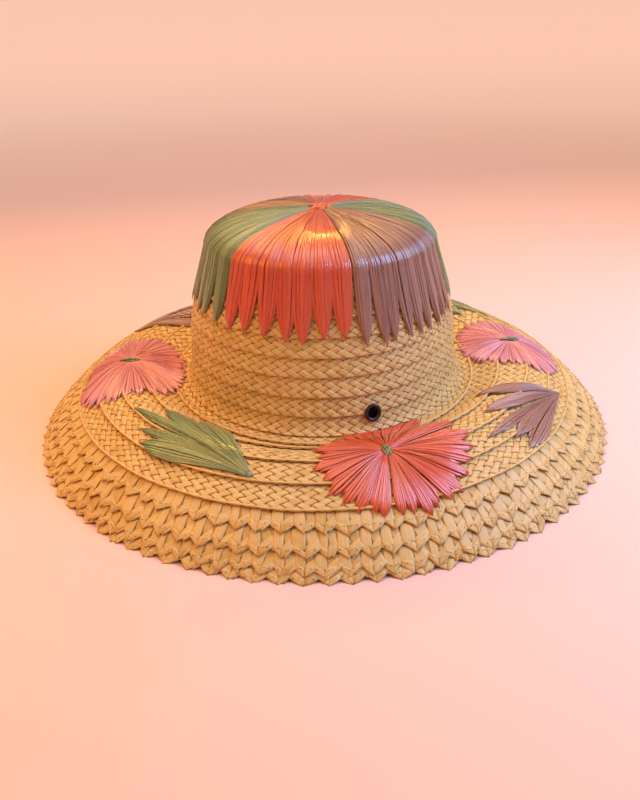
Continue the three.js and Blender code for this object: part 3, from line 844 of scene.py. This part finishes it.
# name, slot, place of the hole, and each leaflet's tip and width: distances beyond the crease
# and widths in millimetres, bearings in degrees
SPRAYS = [("green_front", "green_raffia", 51.5, -14.9,
           [(12.5, -43.8, 13), (51.5, -44.5, 12), (44, -48.5, 6.5), (24.5, -53, 9.5), (38, -58.5, 6)]),
          ("brown_right", "brown_raffia", 60.5, 71.3,
           [(64.5, 46.5, 9), (54.5, 45.8, 7), (46.5, 40, 5.5), (31, 48, 9), (18.5, 58.5, 9.5)]),
          ("green_back", "green_raffia", 55.5, 160,
           [(17.5, 130, 15), (55.5, 130.5, 12), (48, 126.5, 8), (28.5, 122, 12), (42, 117, 8)]),
          ("brown_left", "brown_raffia", 55, -112,
           [(59, -137.3, 8.5), (49.5, -137.8, 8), (41.5, -144, 7), (25.5, -136, 9.5), (13, -125.3, 10)])]
LEAF_STRANDS = 11
LEAF_SHOULDER = 0.62
LEAF_OVER = 1.02  # share of the way from the hole to its tip that a leaflet runs

for seed, (name, slot, beyond, bearing, leaflets) in enumerate(SPRAYS):
    rng = np.random.default_rng(700 + seed)
    tips, tip_bearings, broad = np.array(leaflets, float).T
    turned = np.radians(tip_bearings - bearing)
    sideways = radius_at(CREASE_RUN + tips) * np.sin(turned)
    outward = radius_at(CREASE_RUN + tips) * np.cos(turned) - radius_at(CREASE_RUN + beyond)
    headings = np.arctan2(sideways, outward)
    lengths = np.hypot(sideways, outward) * LEAF_OVER
    half_angle = broad / 2 / (lengths * LEAF_SHOULDER)
    lines = fan(headings, lengths, half_angle, LEAF_STRANDS, rng, LEAF_SHOULDER, rise=0.9, base=0.45,
                thick=2.0)
    make_piece(f"leaves_{name}_strands", strands(*lines, brim_place(beyond, bearing)), slot,
               f"leaves_{name}")

# ------------------------------
# Knots. A twisted hank of coral raffia is sewn over the middle of the crown, and a short green stitch
# over the middle of each flower.

TIE_STEPS = 14
TIE_STRAND = 1.15  # width of a knot's strands
TIE_KINK = 0.25  # share of its breadth that a hank bends aside


def tie(loops, length, breadth, thickness, lift, heading, rng, place_on):
    """A small hank of raffia: strands side by side, humped over its middle, twisted by a sine."""
    t = np.linspace(-1, 1, TIE_STEPS)[None, :]
    u = np.linspace(-1, 1, loops)[:, None]
    far = t * length / 2 * (1 + rng.normal(0, 0.05, (loops, 1)))
    side = breadth / 2 * u * np.cos(1.2 * t) + TIE_KINK * breadth * np.sin(3 * t + 2 * u)
    aim = math.radians(heading)
    across = np.sin(aim) * far + np.cos(aim) * side
    down = np.cos(aim) * far - np.sin(aim) * side
    high = lift + thickness * (1 - t ** 4) * (1 - 0.5 * u ** 2) + rng.normal(0, 0.08, (loops, 1))
    width = np.full(high.shape, TIE_STRAND)
    return strands(across, down, width, high, rng.random(loops), place_on)


def over_top(flat, lift):
    """A chart over the middle of the crown: millimetres to the right and to the front."""
    far = np.hypot(flat[..., 0], flat[..., 1])
    return on_hat(far, np.arctan2(flat[..., 0], flat[..., 1]), lift)


rng = np.random.default_rng(800)
hank = gather([tie(7, 15, 6, 1.5, 1.3, heading, rng, over_top) for heading in (15, 75, 135)])
make_piece("crown_knot_hank", hank, "coral_raffia", "crown_knot")

for seed, (name, _, beyond, bearing, *_) in enumerate(FLOWERS):
    rng = np.random.default_rng(810 + seed)
    stitch = gather([tie(4, 10.5, 2.8, 1.5, 1.0, heading, rng, brim_place(beyond, bearing))
                     for heading in (-18, 4)])
    make_piece(f"flower_knot_{name}_stitch", stitch, "green_raffia", f"flower_knot_{name}")

# ------------------------------
# Eyelets. Two dark enamelled brass eyelets near the foot of the crown for air, each pressed over a
# washer on the inside.

LOOKS["eyelet_metal"] = new_material(
    "dark_eyelet_enamel", Base_Color=(0.035, 0.014, 0.018, 1), Roughness=0.28, Metallic=0.35,
    Coat_Weight=0.5, Coat_Roughness=0.12)[0]
RING_STEPS = 48


def turned_ring(profile, run, bearing):
    """A closed ring turned about the outward direction at a place on the hat, from (radius, lift)
    corners."""
    profile = np.array(profile, float)
    around = np.linspace(0, 2 * math.pi, RING_STEPS, endpoint=False)[:, None]
    flat = np.stack([profile[:, 0] * np.sin(around), profile[:, 0] * np.cos(around)], -1)
    outward, place = ([np.interp(run, RUN, line[:, k]) for k in (0, 1)] for line in (OUTWARD, PLACE))
    out = np.array([outward[0] * math.sin(bearing), -outward[0] * math.cos(bearing), outward[1]])
    side = np.array([math.cos(bearing), math.sin(bearing), 0])
    up = np.cross(out, side)
    centre = np.array([place[0] * math.sin(bearing), -place[0] * math.cos(bearing), place[1]])
    points = centre + flat[..., :1] * side + flat[..., 1:] * up + profile[None, :, 1:] * out
    points = drawn_in(np.hypot(points[..., 0], points[..., 1]),
                      np.arctan2(points[..., 0], -points[..., 1]), points[..., 2])
    faces = tube_faces(1, RING_STEPS, len(profile), np.array([0]))
    return points.reshape(-1, 3), outward_faces(points, faces)


FLANGE = [(2.95, -5.0), (3.05, -0.3), (3.3, 0.55), (3.85, 1.05), (4.7, 1.1), (5.3, 0.8), (5.5, 0.2),
          (5.0, -0.1), (3.7, -0.3), (3.55, -5.0)]
WASHER = [(3.65, -4.55), (5.7, -4.5), (6.0, -4.8), (5.7, -5.2), (3.65, -5.15)]

for name, bearing in EYELET_BEARINGS.items():
    for node, part, profile in (("eyelet", "flange", FLANGE), ("eyelet_washer", "ring", WASHER)):
        ring = turned_ring(profile, EYELET_RUN, bearing)
        make_piece(f"{node}_{name}_{part}", ring, "eyelet_metal", f"{node}_{name}")

# ------------------------------
# Sweatband. A strip of ribbed dark cotton sewn round the inside of the crown just above the crease,
# its ends joined at the back.

BAND_TOP = CREASE_RUN - 26
BAND_FOOT = CREASE_RUN - 1
BAND_DEPTH = 6.3  # from the outline in to the cotton's own middle
BAND_SKIN = 0.35  # half its thickness
BAND_RIBS = 9
BAND_STEPS = 240


def sweatband_points():
    """A closed strip: across it the lift ripples with the ribs, and its two long edges are turned."""
    around = np.linspace(-math.pi, math.pi, BAND_STEPS, endpoint=False)[:, None]
    down = np.linspace(0, 1, 6 * BAND_RIBS + 1)
    rib = 0.12 * np.sin(2 * math.pi * BAND_RIBS * down) * np.sin(math.pi * down)
    face = BAND_TOP + (BAND_FOOT - BAND_TOP) * down
    run = np.r_[face, face[::-1]]
    lift = np.r_[-BAND_DEPTH + BAND_SKIN + rib, (-BAND_DEPTH - BAND_SKIN + rib)[::-1]]
    points = on_hat(run[None], around, lift[None] + 0.15 * np.sin(5 * around))
    faces = tube_faces(1, BAND_STEPS, len(run), np.array([0]))
    return solid(points, faces, around * 90, run[None], 0.0)


def cotton_material():
    """Dark brown ribbed cotton with a fine weave across it."""
    material, tree, shader = new_material("dark_cotton", Base_Color=(0.055, 0.028, 0.018, 1), Roughness=0.9)
    fibre = add_node(tree, "Attribute", attribute_name="fibre")
    weave = add_node(tree, "TexWave", {"Vector": fibre.outputs["Vector"], "Scale": 1.4, "Distortion": 0.6})
    bump = add_node(tree, "Bump", {"Height": weave.outputs["Fac"], "Strength": 0.3, "Distance": 0.0002})
    set_inputs(tree, shader, {"Normal": bump.outputs["Normal"]})
    return material


LOOKS["sweatband_cotton"] = cotton_material()
sweatband = make_piece("sweatband_strip", sweatband_points(), "sweatband_cotton", "sweatband")
